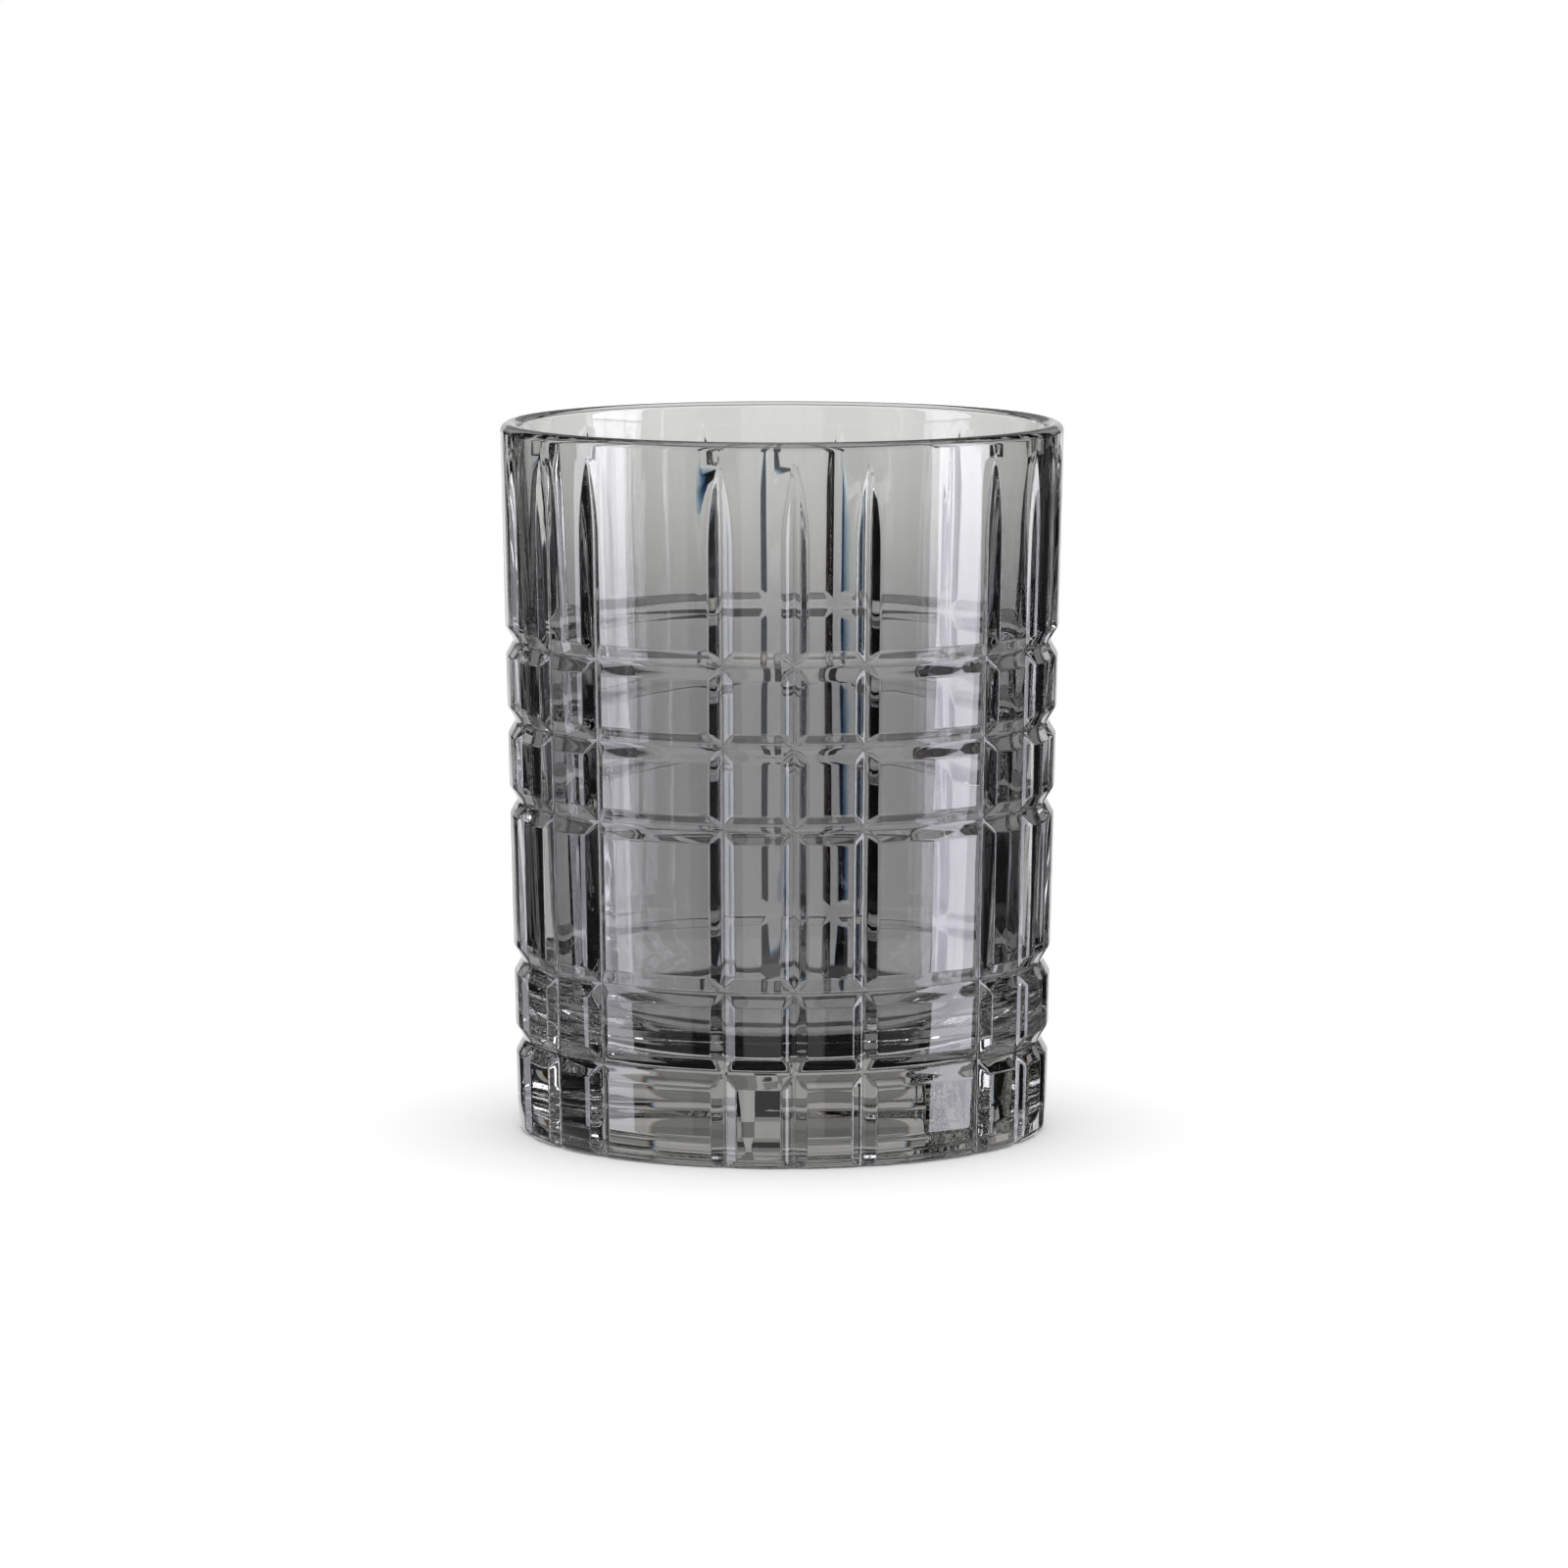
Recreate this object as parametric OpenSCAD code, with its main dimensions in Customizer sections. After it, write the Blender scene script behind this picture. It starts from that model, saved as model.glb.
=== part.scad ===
// Cut-pattern whiskey tumbler: one piece of heavy smoke-grey glass.
// Origin at the centre of the resting face, +Z up through the mouth, millimetres.
// One upright cut faces -Y.

/* [Body] */
// Height from the resting face to the top of the rim
glass_h = 102; // [95:0.5:110]
// Outside diameter at the foot, above its rounded edge
foot_d = 76.3; // [72:0.1:79]
// Outside diameter at the rim
rim_d = 80.9; // [80:0.1:86]
// Radius of the rounded outer edge of the foot
foot_edge_r = 1.3; // [0.5:0.1:2]

/* [Inside] */
// Thickness of the rounded rim
rim_t = 2.6; // [2.2:0.1:3.2]
// Thickness of the solid base, from the resting face to the inside floor
base_t = 13.6; // [11:0.1:18]
// Thickness of the wall where it meets the floor
heel_t = 4.6; // [3.6:0.1:6]
// Radius between the inside wall and the inside floor
floor_r = 11; // [6:0.5:13]

/* [Underside] */
// Width of the ring that the glass stands on
foot_ring_w = 4.5; // [3:0.5:8]
// Depth of the shallow hollow inside that ring
punt_h = 1.2; // [0.5:0.1:2]

/* [Cuts] */
// Depth of every cut
cut_depth = 1.25; // [0.6:0.05:1.5]
// Width of a ring cut at the surface
ring_cut_w = 4.1; // [2:0.1:5]
// Width of an upright cut at the surface
upright_cut_w = 3.6; // [2:0.1:5]
// Height of the lowest ring cut, which is the top of the foot band
foot_band_h = 13.3; // [11:0.1:15]
// Height from one ring cut to the next
ring_pitch = 11.5; // [9:0.1:12]
// Height at which the upright cuts begin to run out
run_out_h = 87; // [80:0.5:90]
// Radius of the wheel that runs the upright cuts out to a point
wheel_r = 66; // [40:1:66]

/* [Hidden] */

// Steps of the ring pitch that carry a cut; step 2 is left whole
ring_steps = [0, 1, 3, 4, 5];
// Upright cuts stand on a round of 24 places; every fourth place is left whole
upright_places = 24;
upright_places_in_group = 4;
whole_place = 2;
// How far the cutters reach outside the glass
clearance = 3;
// Turn of the wheel that carries its cut well clear of the glass
wheel_turn = 18;

foot_r = foot_d / 2;
rim_r = rim_d / 2;
taper = (rim_r - foot_r) / glass_h;
lean = atan(taper);
edge_r = rim_t / 2;
heel_z = base_t + floor_r;
heel_r = outside_r(heel_z) - heel_t;
punt_r = foot_r - foot_edge_r - foot_ring_w;
round_fn = 240;
arc_fn = 12;

// Outside radius of the uncut body at a height
function outside_r(z) = foot_r + taper * z;

// Points on a quarter or half turn, from one angle to another
function arc(centre, r, from, to) =
    [for (i = [0:arc_fn]) centre + r * [cos(from + (to - from) * i / arc_fn),
                                        sin(from + (to - from) * i / arc_fn)]];

// Half section through the glass, from the punt outwards, up, over the rim and down inside
function section() = concat(
    [[0, punt_h], [punt_r - 2 * punt_h, punt_h], [punt_r, 0]],
    arc([foot_r - foot_edge_r, foot_edge_r], foot_edge_r, -90, 0),
    arc([rim_r - edge_r, glass_h - edge_r], edge_r, 0, 180),
    arc([heel_r - floor_r, heel_z], floor_r, 0, -90),
    [[0, base_t]]
);

// V of a cut, with its point inwards at the given distance and its open side outwards
module cut_v(point_x, width, outwards) {
    reach = cut_depth + clearance;
    half = width / 2 * reach / cut_depth;
    polygon([[point_x, 0], [point_x + outwards * reach, half], [point_x + outwards * reach, -half]]);
}

// One cut round the body at a height
module ring_cut(z) {
    translate([0, 0, z])
        rotate_extrude($fn = round_fn)
            cut_v(outside_r(z) - cut_depth, ring_cut_w, 1);
}

// One upright cut: straight from below the foot, then out along the wheel to a point
module upright_cut(place) {
    rotate([0, 0, place * 360 / upright_places - 90])
        translate([foot_r, 0, 0])
            rotate([0, lean, 0]) {
                translate([0, 0, -clearance])
                    linear_extrude(run_out_h + clearance)
                        cut_v(-cut_depth, upright_cut_w, 1);
                translate([wheel_r - cut_depth, 0, run_out_h])
                    mirror([1, 0, 0])
                        rotate([90, 0, 0])
                            rotate_extrude(angle = wheel_turn, $fn = round_fn)
                                cut_v(wheel_r, upright_cut_w, -1);
            }
}

module tumbler_glass() {
    color([0.42, 0.42, 0.40, 0.75])
        difference() {
            rotate_extrude($fn = round_fn)
                polygon(section());
            for (step = ring_steps)
                ring_cut(foot_band_h + step * ring_pitch);
            for (place = [0:upright_places - 1])
                if (place % upright_places_in_group != whole_place)
                    upright_cut(place);
        }
}

tumbler_glass();
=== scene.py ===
"""A smoke-grey cut tumbler on a pale studio floor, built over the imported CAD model."""

import logging
import math
from dataclasses import dataclass
from enum import Enum
from typing import Any, Iterable, Union

import bpy
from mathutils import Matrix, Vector


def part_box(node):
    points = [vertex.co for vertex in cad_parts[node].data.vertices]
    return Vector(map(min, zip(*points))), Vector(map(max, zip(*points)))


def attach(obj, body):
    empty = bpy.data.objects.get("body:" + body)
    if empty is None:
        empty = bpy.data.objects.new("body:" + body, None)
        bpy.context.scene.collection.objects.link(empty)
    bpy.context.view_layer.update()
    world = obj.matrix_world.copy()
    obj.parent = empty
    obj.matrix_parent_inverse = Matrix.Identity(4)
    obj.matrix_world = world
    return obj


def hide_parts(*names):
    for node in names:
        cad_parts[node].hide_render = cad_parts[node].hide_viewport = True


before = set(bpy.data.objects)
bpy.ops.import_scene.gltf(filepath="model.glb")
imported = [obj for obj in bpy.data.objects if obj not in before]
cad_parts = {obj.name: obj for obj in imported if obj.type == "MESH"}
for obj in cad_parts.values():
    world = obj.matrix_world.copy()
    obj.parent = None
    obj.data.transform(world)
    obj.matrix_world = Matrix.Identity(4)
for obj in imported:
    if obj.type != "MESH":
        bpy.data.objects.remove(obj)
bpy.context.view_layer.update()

LOG = logging.getLogger("tumbler")
MM = 0.001
NODE = "tumbler_glass"
SLOT = "smoke_glass"
# Sockets of a Mix node that mixes colours
MIX_SHARE, MIX_FIRST, MIX_SECOND, MIX_RESULT = 0, 6, 7, 2
# Ends of a panel that reaches all the way, far enough past that its soft edge doesn't show
AHEAD, BEHIND, BOTTOM, TOP = -9, 189, -99, 99
# The middle between 0 and 1, and between one whole number and the next
HALF = 0.5
# Slack for rounding where a length is divided into steps
ROUNDING = 1e-6

Number = Union[int, float]
Point = tuple[float, float]
Tint = tuple[float, float, float]
Source = Union["Value", bpy.types.NodeSocket, tuple[float, ...]]


class Maths(Enum):
    """The Math node operations that the trees use, by what they do."""

    ADD = "ADD"
    SUBTRACT = "SUBTRACT"
    MULTIPLY = "MULTIPLY"
    DIVIDE = "DIVIDE"
    LOWER = "MINIMUM"
    HIGHER = "MAXIMUM"
    SOFT_HIGHER = "SMOOTH_MAX"
    SIZE = "ABSOLUTE"
    SIGN = "SIGN"
    FLOOR = "FLOOR"
    MODULO = "MODULO"
    ROOT = "SQRT"
    SINE = "SINE"
    COSINE = "COSINE"
    LESS = "LESS_THAN"
    SAME = "COMPARE"
    ANGLE = "ARCTAN2"


class Value:
    """An output socket that adds Math nodes to its tree when Python operators are used on it."""

    def __init__(self, graph: "Graph", socket: bpy.types.NodeSocket) -> None:
        """Wraps a socket.

        Args:
            graph: The graph that the socket's node is in.
            socket: The output socket.
        """
        self.graph = graph
        self.socket = socket

    def do(self, operation: Maths, *others: "Operand") -> "Value":
        """Returns the result of a Math node on this value and the others."""
        return self.graph.maths(operation, self, *others)

    def __add__(self, other: "Operand") -> "Value":
        """Returns self + other."""
        return self.graph.maths(Maths.ADD, self, other)

    def __radd__(self, other: "Operand") -> "Value":
        """Returns other + self."""
        return self.graph.maths(Maths.ADD, other, self)

    def __sub__(self, other: "Operand") -> "Value":
        """Returns self - other."""
        return self.graph.maths(Maths.SUBTRACT, self, other)

    def __rsub__(self, other: "Operand") -> "Value":
        """Returns other - self."""
        return self.graph.maths(Maths.SUBTRACT, other, self)

    def __mul__(self, other: "Operand") -> "Value":
        """Returns self * other."""
        return self.graph.maths(Maths.MULTIPLY, self, other)

    def __rmul__(self, other: "Operand") -> "Value":
        """Returns other * self."""
        return self.graph.maths(Maths.MULTIPLY, other, self)

    def __truediv__(self, other: "Operand") -> "Value":
        """Returns self / other."""
        return self.graph.maths(Maths.DIVIDE, self, other)

    def __rtruediv__(self, other: "Operand") -> "Value":
        """Returns other / self."""
        return self.graph.maths(Maths.DIVIDE, other, self)

    def __neg__(self) -> "Value":
        """Returns -self."""
        return self.graph.maths(Maths.MULTIPLY, self, -1)

    def clamped(self, low: Number = 0, high: Number = 1) -> "Value":
        """Returns this value held between low and high."""
        return self.do(Maths.HIGHER, low).do(Maths.LOWER, high)

    def smooth(self, start: Number, end: Number) -> "Value":
        """Adds a Map Range node that turns this value into a share.

        Args:
            start: Where the share leaves 0.
            end: Where it reaches 1.

        Returns:
            The share, which follows an S-curve between the two.
        """
        settings = {"interpolation_type": "SMOOTHSTEP"}
        inputs = {"Value": self, "From Min": start, "From Max": end}
        return self.graph.out("ShaderNodeMapRange", settings, inputs, "Result")


Operand = Union[Value, Number]


class Graph:
    """A node tree with one method that makes any node, and short ones for what is used most."""

    def __init__(self, tree: bpy.types.NodeTree) -> None:
        """Wraps a tree.

        Args:
            tree: The node tree, which may hold nodes already.
        """
        self.tree = tree

    def node(
        self, kind: str, settings: dict[str, Any] | None = None, inputs: dict[Any, Any] | None = None
    ) -> bpy.types.Node:
        """Makes one node.

        Args:
            kind: The node's type.
            settings: Its properties, set before its sockets.
            inputs: Socket name or number to a value, a socket or a Value.

        Returns:
            The node.
        """
        made = self.tree.nodes.new(kind)
        for name, value in (settings or {}).items():
            setattr(made, name, value)
        for key, value in (inputs or {}).items():
            self.plug(made.inputs[key], value)
        return made

    def plug(self, socket: bpy.types.NodeSocket, value: Any) -> None:
        """Links a socket, or sets its own value.

        Args:
            socket: The input socket.
            value: A Value or an output socket to link, or anything else to set.
        """
        if isinstance(value, Value):
            value = value.socket
        if isinstance(value, bpy.types.NodeSocket):
            self.tree.links.new(value, socket)
        else:
            socket.default_value = value

    def out(
        self, kind: str, settings: dict[str, Any], inputs: dict[Any, Any], name: str | int = 0
    ) -> Value:
        """Makes one node and returns one of its outputs."""
        return Value(self, self.node(kind, settings, inputs).outputs[name])

    def maths(self, operation: Maths, *operands: Operand) -> Value:
        """Makes a Math node and returns its result."""
        return self.out("ShaderNodeMath", {"operation": operation.value}, dict(enumerate(operands)))

    def mixed(self, share: Source, first: Source, second: Source) -> Value:
        """Returns the first colour where share is 0 and the second where it is 1."""
        inputs = {MIX_SHARE: share, MIX_FIRST: first, MIX_SECOND: second}
        return self.out("ShaderNodeMix", {"data_type": "RGBA"}, inputs, MIX_RESULT)


@dataclass(frozen=True)
class Grain:
    """A noise pattern: the width of its features, their height over that, and its finer layers."""

    width: float
    stretch: float
    detail: float


@dataclass(frozen=True)
class SmokeGlass:
    """The one finish: polished soda-lime glass, grey all the way through."""

    ior: float = 1.52
    # Light taken off per metre of glass, in red, green and blue
    taken: Tint = (6.0, 6.0, 6.6)
    # What the surface lets through at the rim, and what it lets through below the shade height
    rim_tint: Tint = (0.79, 0.79, 0.775)
    wall_tint: Tint = (0.525, 0.52, 0.525)
    shade_height: float = 62 * MM
    full_height: float = 102 * MM
    # How unevenly the tint changes with height
    drifts: Grain = Grain(24 * MM, 2.5, 2.0)
    drift_height: float = 12 * MM
    # Roughness of the polished glass, and what smears and scuffs add to it
    polish: float = 0.004
    smears: Grain = Grain(9 * MM, 1.6, 4.0)
    smear_edges: tuple[float, float] = (0.52, 0.8)
    smear: float = 0.02
    scuffs: Grain = Grain(0.8 * MM, 1.0, 3.0)
    scuff_edges: tuple[float, float] = (0.35, 0.65)
    scuff: float = 0.32
    scuff_height: float = 0.5 * MM
    # Unevenness of the surface: slow waves, upright streaks, and scratches on the foot
    waves: Grain = Grain(13 * MM, 1.8, 1.0)
    wave_height: float = 0.022 * MM
    streaks: Grain = Grain(3.5 * MM, 18.0, 0.0)
    streak_height: float = 0.003 * MM
    scratches: Grain = Grain(0.25 * MM, 1.0, 2.0)
    scratch_height: float = 0.01 * MM

    def make(self) -> bpy.types.Material:
        """Builds the material.

        Returns:
            The material, named for its slot.
        """
        material = bpy.data.materials.new(SLOT)
        material.use_nodes = True
        graph = Graph(material.node_tree)
        material.node_tree.nodes.clear()
        place = graph.out("ShaderNodeTexCoord", {}, {}, "Object")
        height = graph.out("ShaderNodeSeparateXYZ", {}, {"Vector": place}, "Z")
        foot = 1 - height.smooth(0, self.scuff_height)
        shader = graph.node(
            "ShaderNodeBsdfPrincipled",
            {},
            {
                "Base Color": self._tone(graph, place, height),
                "Roughness": self._roughness(graph, place, foot),
                "IOR": self.ior,
                "Transmission Weight": 1.0,
                "Normal": self._relief(graph, place, foot),
            },
        )
        most = max(self.taken)
        colour = (*[1 - share / most for share in self.taken], 1.0)
        inside = graph.node("ShaderNodeVolumeAbsorption", {}, {"Color": colour, "Density": most})
        graph.node(
            "ShaderNodeOutputMaterial",
            {},
            {"Surface": shader.outputs["BSDF"], "Volume": inside.outputs["Volume"]},
        )
        return material

    @staticmethod
    def _noise(graph: Graph, place: Value, grain: Grain) -> Value:
        """Adds noise to a tree.

        Args:
            graph: The material's tree.
            place: Where the noise is read.
            grain: The size and fineness of its features.

        Returns:
            The noise, from 0 to 1.
        """
        across = 1 / grain.width
        scale = (across, across, across / grain.stretch)
        vector = graph.out("ShaderNodeMapping", {}, {"Vector": place, "Scale": scale})
        inputs = {"Vector": vector, "Scale": 1.0, "Detail": grain.detail}
        return graph.out("ShaderNodeTexNoise", {}, inputs, "Fac")

    def _tone(self, graph: Graph, place: Value, height: Value) -> Value:
        """Adds the smoke tint, which deepens down the wall, with faint drifts.

        Args:
            graph: The material's tree.
            place: The point on the glass.
            height: Its height.

        Returns:
            The colour.
        """
        drift = self._noise(graph, place, self.drifts) - HALF
        share = (height + drift * self.drift_height).smooth(self.shade_height, self.full_height)
        return graph.mixed(share, (*self.wall_tint, 1.0), (*self.rim_tint, 1.0))

    def _roughness(self, graph: Graph, place: Value, foot: Value) -> Value:
        """Adds the roughness: polished, with faint smears, and scuffed where the foot rests.

        Args:
            graph: The material's tree.
            place: The point on the glass.
            foot: 1 on the resting face, fading to 0 above it.

        Returns:
            The roughness.
        """
        smear = self._noise(graph, place, self.smears).smooth(*self.smear_edges)
        scuff = self._noise(graph, place, self.scuffs).smooth(*self.scuff_edges)
        return self.polish + self.smear * smear + self.scuff * foot * scuff

    def _relief(self, graph: Graph, place: Value, foot: Value) -> Value:
        """Adds the relief: waves and streaks of pressed glass, and scratches on the foot.

        Args:
            graph: The material's tree.
            place: The point on the glass.
            foot: 1 on the resting face, fading to 0 above it.

        Returns:
            The normal.
        """
        wave = self._noise(graph, place, self.waves)
        streak = self._noise(graph, place, self.streaks)
        scratch = self._noise(graph, place, self.scratches) * foot
        height = wave * self.wave_height + streak * self.streak_height
        height = height + scratch * self.scratch_height
        inputs = {"Strength": 1.0, "Distance": 1.0, "Height": height}
        return graph.out("ShaderNodeBump", {}, inputs, "Normal")


@dataclass
class Tumbler:
    """The glass itself: a turned section, with ring cuts and upright cuts ground into its wall."""

    height: float
    rim_r: float
    foot_r: float = 38.15 * MM
    foot_edge_r: float = 1.3 * MM
    rim_t: float = 2.6 * MM
    base_t: float = 13.6 * MM
    heel_t: float = 4.6 * MM
    floor_r: float = 11 * MM
    foot_ring_w: float = 4.5 * MM
    punt_h: float = 1.2 * MM
    cut_depth: float = 1.25 * MM
    ring_cut_w: float = 4.1 * MM
    upright_cut_w: float = 3.6 * MM
    foot_band_h: float = 13.3 * MM
    ring_pitch: float = 11.5 * MM
    # Steps of the ring pitch that carry a cut, and the one between them that is left whole
    ring_steps: tuple[int, ...] = (0, 1, 3, 4, 5)
    whole_step: int = 2
    # Where the upright cuts begin to run out, and the radius of the wheel that ends them in a point
    run_out_h: float = 87 * MM
    wheel_r: float = 66 * MM
    # Upright cuts stand on a round of places, and each group has one place that is left whole
    places: int = 24
    places_in_group: int = 4
    whole_place: int = 2
    # How far the edges and the valley of a cut are rounded
    edge_soft: float = 0.23 * MM
    valley_soft: float = 0.3 * MM
    # Where lines of the mesh lie across half a cut, as shares of its half width
    spread: tuple[float, ...] = (0, 0.09, 0.22, 0.56, 0.89, 0.95, 1, 1.05, 1.11)
    # Lines from the last of those to half way between two places
    lines_between: int = 2
    # The half width that the lines keep where a cut has run out, as a share of the full one
    least_share: float = 0.12
    # The most from row to row on the wall, where the upright cuts run out, and on the flat parts
    row_step: float = 4 * MM
    run_out_step: float = 1.2 * MM
    floor_step: float = 8 * MM
    under_step: float = 16 * MM
    # How many pieces each round stretch of the section has
    punt_pieces: int = 8
    foot_pieces: int = 8
    rim_pieces: int = 16
    heel_pieces: int = 12
    # Points nearer than this are one point
    merge_gap: float = 0.001 * MM

    def wall_r(self, z: float) -> float:
        """Returns the radius of the uncut wall at a height."""
        return self.foot_r + (self.rim_r - self.foot_r) * z / self.height

    def section(self) -> list[Point]:
        """Works out the half section.

        Returns:
            (radius, height) points from the axis under the foot, out, up the wall, over the rim and
            down to the axis at the inside floor.
        """
        punt_r = self.foot_r - self.foot_edge_r - self.foot_ring_w
        slope_w = 2 * self.punt_h
        rim_edge = self.rim_t / 2
        heel_z = self.base_t + self.floor_r
        heel_r = self.wall_r(heel_z) - self.heel_t
        flat_r = heel_r - self.floor_r
        under = [(r, self.punt_h) for r in steps(0, punt_r - slope_w, self.under_step)]
        under += [
            (punt_r - slope_w * (1 - s), self.punt_h * (1 + math.cos(math.pi * s)) / 2)
            for s in steps(0, 1, 1 / self.punt_pieces)
        ]
        edge = self.foot_edge_r
        foot = arc(self.foot_r - edge, edge, edge, -90, 0, self.foot_pieces)
        wall = [(self.wall_r(z), z) for z in self.wall_rows()]
        top = (self.rim_r - self.rim_t, self.height - rim_edge)
        rim = arc(self.rim_r - rim_edge, top[1], rim_edge, 0, 180, self.rim_pieces)
        inside = [
            (top[0] + (heel_r - top[0]) * s, top[1] + (heel_z - top[1]) * s)
            for s in steps(0, 1, self.row_step / (top[1] - heel_z))
        ]
        heel = arc(flat_r, heel_z, self.floor_r, 0, -90, self.heel_pieces)
        floor = [(r, self.base_t) for r in reversed(steps(0, flat_r, self.floor_step))]
        return without_repeats(under + foot + wall + rim + inside + heel + floor, self.merge_gap)

    def wall_rows(self) -> list[float]:
        """Works out the heights of the rows on the wall.

        Returns:
            Heights from the foot's edge to the rim's edge, close together across each ring cut.
        """
        half = self.ring_cut_w / 2
        rows = [self.foot_edge_r]
        for step in self.ring_steps:
            centre = self.foot_band_h + step * self.ring_pitch
            first = centre - half * self.spread[-1]
            rows += steps(rows[-1], first, self.row_step)[1:-1]
            rows += [centre - half * share for share in reversed(self.spread)]
            rows += [centre + half * share for share in self.spread[1:]]
        rows += steps(rows[-1], self.run_out_h, self.row_step)[1:]
        rows += steps(self.run_out_h, self.height - self.rim_t / 2, self.run_out_step)[1:-1]
        return rows

    def build(self, finish: bpy.types.Material) -> bpy.types.Object:
        """Turns and cuts the section with Geometry Nodes, and makes the result a plain mesh.

        Args:
            finish: The glass material.

        Returns:
            The finished piece, at the origin.
        """
        points = self.section()
        outline = bpy.data.meshes.new("section")
        outline.from_pydata(
            [(r, 0, z) for r, z in points], [(i, i + 1) for i in range(len(points) - 1)], []
        )
        piece = bpy.data.objects.new("cut_tumbler", outline)
        bpy.context.scene.collection.objects.link(piece)
        modifier = piece.modifiers.new("turn_and_cut", "NODES")
        tree, sockets = self._tree()
        modifier.node_group = tree
        for name, value in self._inputs(finish).items():
            modifier[sockets[name]] = value
        graph = bpy.context.evaluated_depsgraph_get()
        solid = bpy.data.meshes.new_from_object(piece.evaluated_get(graph), depsgraph=graph)
        piece.modifiers.remove(modifier)
        piece.data = solid
        bpy.data.meshes.remove(outline)
        solid.name = piece.name
        return piece

    def _inputs(self, finish: bpy.types.Material) -> dict[str, Any]:
        """Returns the tree's inputs by name."""
        return {
            "Foot radius": self.foot_r,
            "Wall slope": (self.rim_r - self.foot_r) / self.height,
            "Cut depth": self.cut_depth,
            "Ring cut half width": self.ring_cut_w / 2,
            "Upright cut half width": self.upright_cut_w / 2,
            "Lowest ring": self.foot_band_h,
            "Ring pitch": self.ring_pitch,
            "Run-out height": self.run_out_h,
            "Wheel radius": self.wheel_r,
            "Edge softness": self.edge_soft,
            "Valley softness": self.valley_soft,
            "Places": self.places,
            "Finish": finish,
        }

    def _tree(self) -> tuple[bpy.types.NodeTree, dict[str, str]]:
        """Builds the tree that turns the section and grinds the cuts.

        Returns:
            The tree, and each input's identifier by its name.
        """
        tree = bpy.data.node_groups.new("turn_and_cut", "GeometryNodeTree")
        tree.interface.new_socket("Geometry", in_out="OUTPUT", socket_type="NodeSocketGeometry")
        tree.interface.new_socket("Geometry", in_out="INPUT", socket_type="NodeSocketGeometry")
        kinds = {"Places": "NodeSocketInt", "Finish": "NodeSocketMaterial"}
        sockets = {}
        for name in self._inputs(None):
            kind = kinds.get(name, "NodeSocketFloat")
            made = tree.interface.new_socket(name, in_out="INPUT", socket_type=kind)
            sockets[name] = made.identifier
        graph = Graph(tree)
        given = graph.node("NodeGroupInput").outputs
        size = {name: Value(graph, given[name]) for name in sockets}
        lines = 2 * (len(self.spread) - 1 + self.lines_between)
        columns = size["Places"] * lines

        count = {"Geometry": given["Geometry"]}
        rows = graph.out("GeometryNodeAttributeDomainSize", {"component": "MESH"}, count, "Point Count")
        inputs = {"Vertices X": columns + 1, "Vertices Y": rows}
        sheet = graph.out("GeometryNodeMeshGrid", {}, inputs, "Mesh")
        index = graph.out("GeometryNodeInputIndex", {}, {})
        column = (index / rows).do(Maths.FLOOR)
        settings = {"data_type": "FLOAT_VECTOR", "domain": "POINT"}
        spot = graph.out("GeometryNodeInputPosition", {}, {})
        inputs = {"Geometry": given["Geometry"], "Value": spot, "Index": index - column * rows}
        outline = graph.out("GeometryNodeSampleIndex", settings, inputs, "Value")
        parts = graph.node("ShaderNodeSeparateXYZ", {}, {"Vector": outline}).outputs
        radius, z = Value(graph, parts["X"]), Value(graph, parts["Z"])

        wall = size["Foot radius"] + size["Wall slope"] * z
        half = self._half_width(size, z)
        place = (column / lines + HALF).do(Maths.FLOOR)
        line = column - place * lines
        turn = math.tau / self.places
        aside = self._aside(line, half, wall * (turn / 2), size)
        angle = place * turn + aside / wall
        depth = self._depth(size, place, aside, half, z)
        radius = radius.do(Maths.LOWER, wall - depth)
        x = radius * angle.do(Maths.SINE)
        y = -(radius * angle.do(Maths.COSINE))
        where = graph.out("ShaderNodeCombineXYZ", {}, {"X": x, "Y": y, "Z": z})

        body = graph.out("GeometryNodeSetPosition", {}, {"Geometry": sheet, "Position": where})
        inputs = {"Geometry": body, "Distance": self.merge_gap}
        body = graph.out("GeometryNodeMergeByDistance", {}, inputs)
        settings = {"quad_method": "LONGEST_DIAGONAL"}
        body = graph.out("GeometryNodeTriangulate", settings, {"Mesh": body})
        body = graph.out("GeometryNodeSetShadeSmooth", {}, {"Geometry": body, "Shade Smooth": True})
        body = graph.out("GeometryNodeRealizeInstances", {}, {"Geometry": body})
        inputs = {"Geometry": body, "Material": given["Finish"]}
        body = graph.out("GeometryNodeSetMaterial", {}, inputs)
        graph.node("NodeGroupOutput", {}, {"Geometry": body})
        return tree, sockets

    def _half_width(self, size: dict[str, Value], z: Value) -> Value:
        """Adds an upright cut's half width at a height.

        Args:
            size: The tree's inputs.
            z: The height.

        Returns:
            The half width, below zero past the cut's point.
        """
        run = (2 * size["Wheel radius"] * size["Cut depth"]).do(Maths.ROOT)
        past = ((z - size["Run-out height"]) / run).do(Maths.HIGHER, 0)
        return size["Upright cut half width"] * (1 - past * past)

    def _aside(self, line: Value, half: Value, reach: Value, size: dict[str, Value]) -> Value:
        """Adds how far round the wall a mesh line lies from its place.

        Args:
            line: The line's number, counted from the middle of its place.
            half: The cut's half width at this height.
            reach: Half the way to the next place.
            size: The tree's inputs.

        Returns:
            The distance, negative on the left.
        """
        number = line.do(Maths.SIZE)
        share = 0.0
        for i, (near, far) in enumerate(zip(self.spread, self.spread[1:])):
            share = (number - i).clamped() * (far - near) + share
        beyond = ((number - (len(self.spread) - 1)) / self.lines_between).clamped()
        least = size["Upright cut half width"] * self.least_share
        near = share * half.do(Maths.HIGHER, least) * (1 - beyond)
        return line.do(Maths.SIGN) * (near + beyond * reach)

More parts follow.
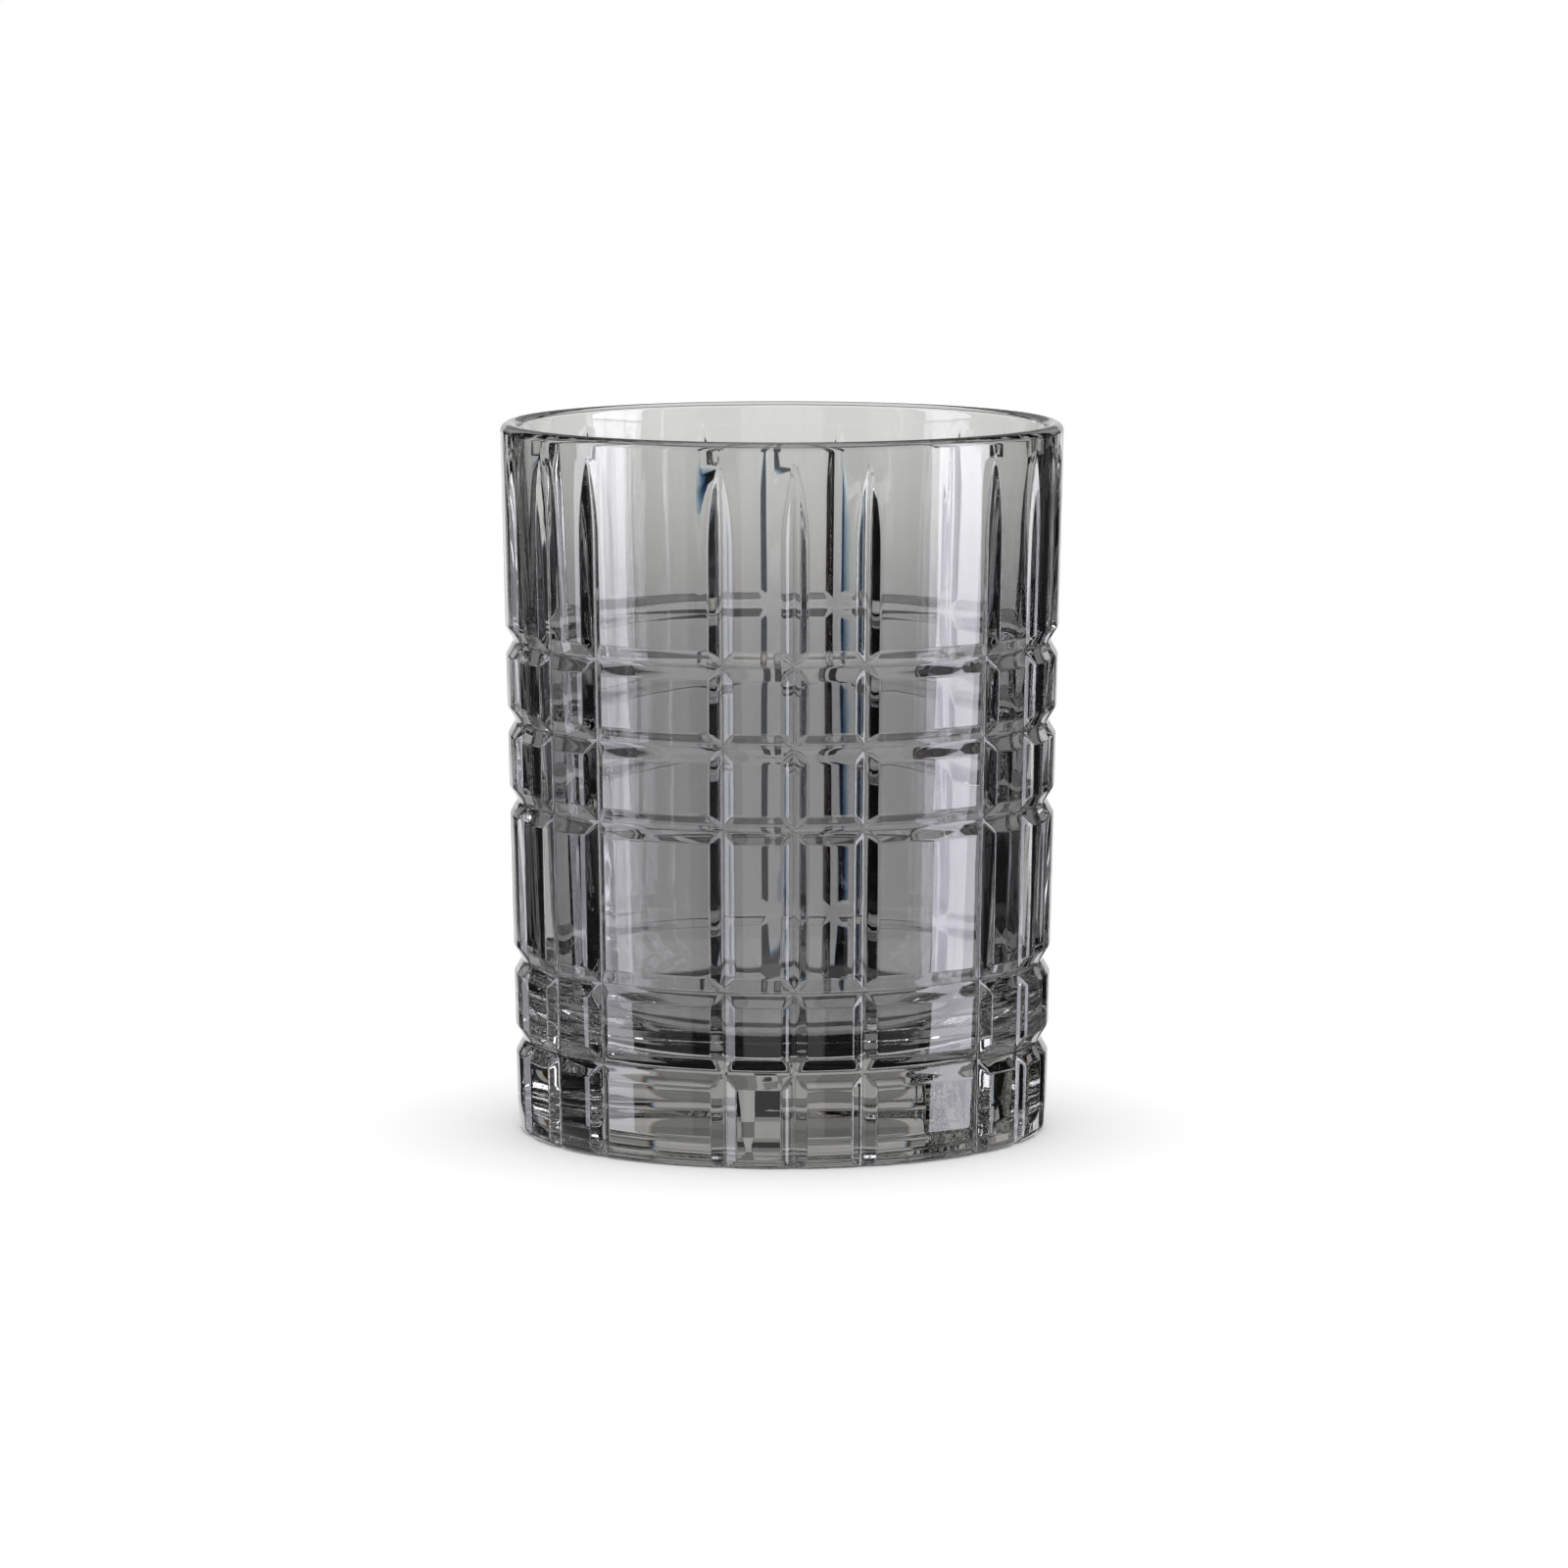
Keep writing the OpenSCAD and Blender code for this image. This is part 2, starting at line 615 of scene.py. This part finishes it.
    def _depth(
        self, size: dict[str, Value], place: Value, aside: Value, half: Value, z: Value
    ) -> Value:
        """Adds how deep the glass is ground away.

        Args:
            size: The tree's inputs.
            place: The number of the nearest place for an upright cut.
            aside: How far round the wall the point lies from that place.
            half: The upright cut's half width at this height.
            z: The height.

        Returns:
            The depth of the deeper of the two cuts, with soft edges.
        """
        soft = size["Valley softness"]
        depth = size["Cut depth"]
        group = place.do(Maths.MODULO, self.places_in_group)
        whole = group.do(Maths.SAME, self.whole_place, HALF)
        off = (aside * aside + soft * soft).do(Maths.ROOT)
        upright = (half - off) * depth / size["Upright cut half width"] - whole

        step = (((z - size["Lowest ring"]) / size["Ring pitch"]) + HALF).do(Maths.FLOOR)
        step = step.clamped(0, max(self.ring_steps))
        uncut = step.do(Maths.SAME, self.whole_step, HALF)
        above = z - (size["Lowest ring"] + step * size["Ring pitch"])
        off = (above * above + soft * soft).do(Maths.ROOT)
        ring = (size["Ring cut half width"] - off) * depth / size["Ring cut half width"] - uncut

        edge = size["Edge softness"]
        return upright.do(Maths.SOFT_HIGHER, ring, edge).do(Maths.SOFT_HIGHER, 0, edge)


@dataclass(frozen=True)
class Panel:
    """One light panel of the surround, the same on the left and on the right.

    near and far are degrees away from straight ahead, up to 180. low and high are degrees above the
    level. soft is half the width of its soft edge, in degrees.
    """

    near: float
    far: float
    low: float
    high: float
    soft: float
    glow: float


@dataclass
class Surround:
    """The studio round the glass: bright panels on a dark ground."""

    turn_deg: float
    back_panels: tuple[Panel, ...] = (
        Panel(AHEAD, 20, -17, 9, 0.6, 0.88),
        Panel(AHEAD, 20, -26, -17, 0.6, 1.0),
        Panel(21, 31, 3, 30, 0.6, 0.5),
        Panel(AHEAD, 31, 9, TOP, 2, 0.42),
        Panel(31, 34.5, 1, 22, 0.5, 0.8),
        Panel(54, 58, 1, 22, 0.5, 0.8),
        Panel(40, 50, -19, -12, 1, 0.2),
        Panel(31, 119, -50, -19, 1, 0.35),
        Panel(119, BEHIND, -50, -19, 1, 0.8),
        Panel(119, 141, -19, TOP, 1, 0.4),
        Panel(162, BEHIND, -19, TOP, 1, 0.8),
        Panel(60, 119, 45, TOP, 5, 0.5),
    )
    side_panels: tuple[Panel, ...] = (Panel(87.5, 113, -18, 35, 0.6, 3.7),)
    # What shows only where the glass bends light and doesn't mirror it: the table and a soft fill
    through_panels: tuple[Panel, ...] = (
        Panel(AHEAD, 31, -50, -31, 0.6, 0.9),
        Panel(AHEAD, 31, -31, -26, 0.6, 0.15),
        Panel(AHEAD, BEHIND, BOTTOM, -50, 1, 0.6),
        Panel(75, BEHIND, -50, 60, 5, 0.35),
    )
    # How much of the side panels is left where they're seen straight through the glass
    through_share: float = 0.1
    # The dark ground between the panels
    ground: float = 0.01
    # The side panels on the right are brighter, and this is how wide the change is straight ahead
    right_share: float = 1.55
    right_edge: float = 0.01
    side_tint: Tint = (0.96, 0.95, 1.06)
    # Degrees that red is seen nearer and blue further aside than green, as through a prism
    fringe: float = 0.12
    # What the floor gets from every side, and what the camera sees behind the glass
    floor_glow: float = 1.45
    backdrop: float = 1.0

    def build(self) -> bpy.types.World:
        """Builds the world.

        Returns:
            The world, white to the camera and patterned to what the glass bends and mirrors.
        """
        world = bpy.data.worlds.new("studio")
        world.use_nodes = True
        world.cycles.sampling_method = "NONE"
        graph = Graph(world.node_tree)
        world.node_tree.nodes.clear()
        way = graph.out("ShaderNodeTexCoord", {}, {}, "Generated")
        parts = graph.node("ShaderNodeSeparateXYZ", {}, {"Vector": way}).outputs
        x, y, z = (Value(graph, parts[name]) for name in "XYZ")
        turn = math.radians(self.turn_deg)
        ahead = y * math.cos(turn) - x * math.sin(turn)
        aside = x * math.cos(turn) + y * math.sin(turn)
        degrees = math.degrees(1)
        away = aside.do(Maths.SIZE).do(Maths.ANGLE, ahead) * degrees
        rise = z.do(Maths.ANGLE, (x * x + y * y).do(Maths.ROOT)) * degrees
        right = 1 + aside.smooth(-self.right_edge, self.right_edge) * (self.right_share - 1)
        ray = graph.node("ShaderNodeLightPath").outputs
        through = Value(graph, ray["Glossy Depth"]).do(Maths.LESS, HALF)
        plain = self._glow(self.through_panels, away, rise) * through + self.ground
        shown = 1 - through * (1 - self.through_share)
        sides = self._glow(self.side_panels, away, rise) * right * shown
        tones = []
        for channel, tint in enumerate(self.side_tint):
            shifted = away + self.fringe * (1 - channel)
            tones.append(sides * tint + self._glow(self.back_panels, shifted, rise) + plain)
        colour = graph.out("ShaderNodeCombineColor", {}, dict(enumerate(tones)), "Color")
        for kind, level in (("Is Diffuse Ray", self.floor_glow), ("Is Camera Ray", self.backdrop)):
            colour = graph.mixed(ray[kind], colour, (level, level, level, 1.0))
        glow = graph.node("ShaderNodeBackground", {}, {"Color": colour})
        graph.node("ShaderNodeOutputWorld", {}, {"Surface": glow.outputs["Background"]})
        return world

    @staticmethod
    def _glow(panels: tuple[Panel, ...], away: Value, rise: Value) -> Value:
        """Adds the light of some panels for a direction.

        Args:
            panels: The panels, whose light adds up where they meet.
            away: The direction's degrees away from straight ahead.
            rise: Its degrees above the level.

        Returns:
            The sum of their light.
        """
        level = 0.0
        for panel in panels:
            soft = panel.soft
            share = away.smooth(panel.near - soft, panel.near + soft)
            share = share * (1 - away.smooth(panel.far - soft, panel.far + soft))
            share = share * rise.smooth(panel.low - soft, panel.low + soft)
            share = share * (1 - rise.smooth(panel.high - soft, panel.high + soft))
            level = share * panel.glow + level
        return level


@dataclass
class Studio:
    """The pale floor, the soft light and the camera."""

    floor_size: float = 6.0
    floor_tone: float = 0.86
    floor_roughness: float = 0.7
    floor_gap: float = 0.1 * MM
    # How many times light may bounce, and how many of those may mirror it
    bounces: int = 24
    mirrorings: int = 12
    # The camera: its lens and sensor in millimetres, how far it stands from what it aims at, how
    # high it looks from, and how far to the left of the front it stands
    lens: float = 175.3
    sensor_width: float = 36.0
    near_clip: float = 0.01
    distance: float = 1.1
    rise_deg: float = 7.07
    turn_deg: float = -2.6
    aim: tuple[float, float, float] = (0.28 * MM, 0.0, 49.6 * MM)

    def build(self) -> None:
        """Makes the floor, the light and the camera."""
        self._floor()
        scene = bpy.context.scene
        scene.world = Surround(self.turn_deg).build()
        self._camera()
        scene.view_settings.view_transform = "Standard"
        scene.cycles.max_bounces = self.bounces
        scene.cycles.transmission_bounces = self.bounces
        scene.cycles.glossy_bounces = self.mirrorings

    def _floor(self) -> None:
        """Makes the floor, which is part of the stage."""
        half = self.floor_size / 2
        mesh = bpy.data.meshes.new("floor")
        low = -self.floor_gap
        corners = [(-half, -half, low), (half, -half, low), (half, half, low), (-half, half, low)]
        mesh.from_pydata(corners, [], [(0, 1, 2, 3)])
        material = bpy.data.materials.new("floor")
        material.use_nodes = True
        shader = material.node_tree.nodes["Principled BSDF"]
        shader.inputs["Base Color"].default_value = (self.floor_tone,) * 3 + (1.0,)
        shader.inputs["Roughness"].default_value = self.floor_roughness
        shader.inputs["Specular IOR Level"].default_value = 0.0
        mesh.materials.append(material)
        floor = bpy.data.objects.new("floor", mesh)
        floor.visible_transmission = False
        floor.visible_glossy = False
        bpy.context.scene.collection.objects.link(floor)

    def _camera(self) -> None:
        """Makes the camera."""
        rise, turn = math.radians(self.rise_deg), math.radians(self.turn_deg)
        flat = math.cos(rise)
        back = Vector((math.sin(turn) * flat, -math.cos(turn) * flat, math.sin(rise)))
        data = bpy.data.cameras.new("camera")
        data.lens = self.lens
        data.sensor_width = self.sensor_width
        data.clip_start = self.near_clip
        camera = bpy.data.objects.new("camera", data)
        camera.location = Vector(self.aim) + back * self.distance
        camera.rotation_euler = back.to_track_quat("Z", "Y").to_euler()
        bpy.context.scene.collection.objects.link(camera)
        bpy.context.scene.camera = camera


def steps(start: float, end: float, most: float) -> list[float]:
    """Returns equal steps from start to end, none longer than most."""
    count = max(1, math.ceil((end - start) / most - ROUNDING))
    return [start + (end - start) * i / count for i in range(count + 1)]


def arc(r: float, z: float, radius: float, first: float, last: float, count: int) -> list[Point]:
    """Works out points on an arc of the section.

    Args:
        r: The centre's distance from the axis.
        z: The centre's height.
        radius: The arc's radius.
        first: The first point's angle in degrees, 0 outwards and 90 up.
        last: The last point's angle.
        count: How many pieces the arc has.

    Returns:
        The points.
    """
    angles = [math.radians(first + (last - first) * i / count) for i in range(count + 1)]
    return [(r + radius * math.cos(a), z + radius * math.sin(a)) for a in angles]


def without_repeats(points: Iterable[Point], gap: float) -> list[Point]:
    """Works out which points stay, leaving out each one that repeats the last.

    Args:
        points: The points in order.
        gap: The distance below which two points are the same.

    Returns:
        The points that stay.
    """
    kept: list[Point] = []
    for point in points:
        if not kept or math.dist(point, kept[-1]) > gap:
            kept.append(point)
    return kept


def main() -> None:
    """Builds the tumbler and the studio."""
    logging.basicConfig(level=logging.INFO, format="%(name)s: %(message)s")
    low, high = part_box(NODE)
    tumbler = Tumbler(height=high[2] - low[2], rim_r=(high[0] - low[0]) / 2)
    piece = tumbler.build(SmokeGlass().make())
    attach(piece, "root")
    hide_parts(NODE)
    LOG.info("%s: %d triangles", piece.name, len(piece.data.polygons))
    Studio().build()


if __name__ == "__main__":
    main()
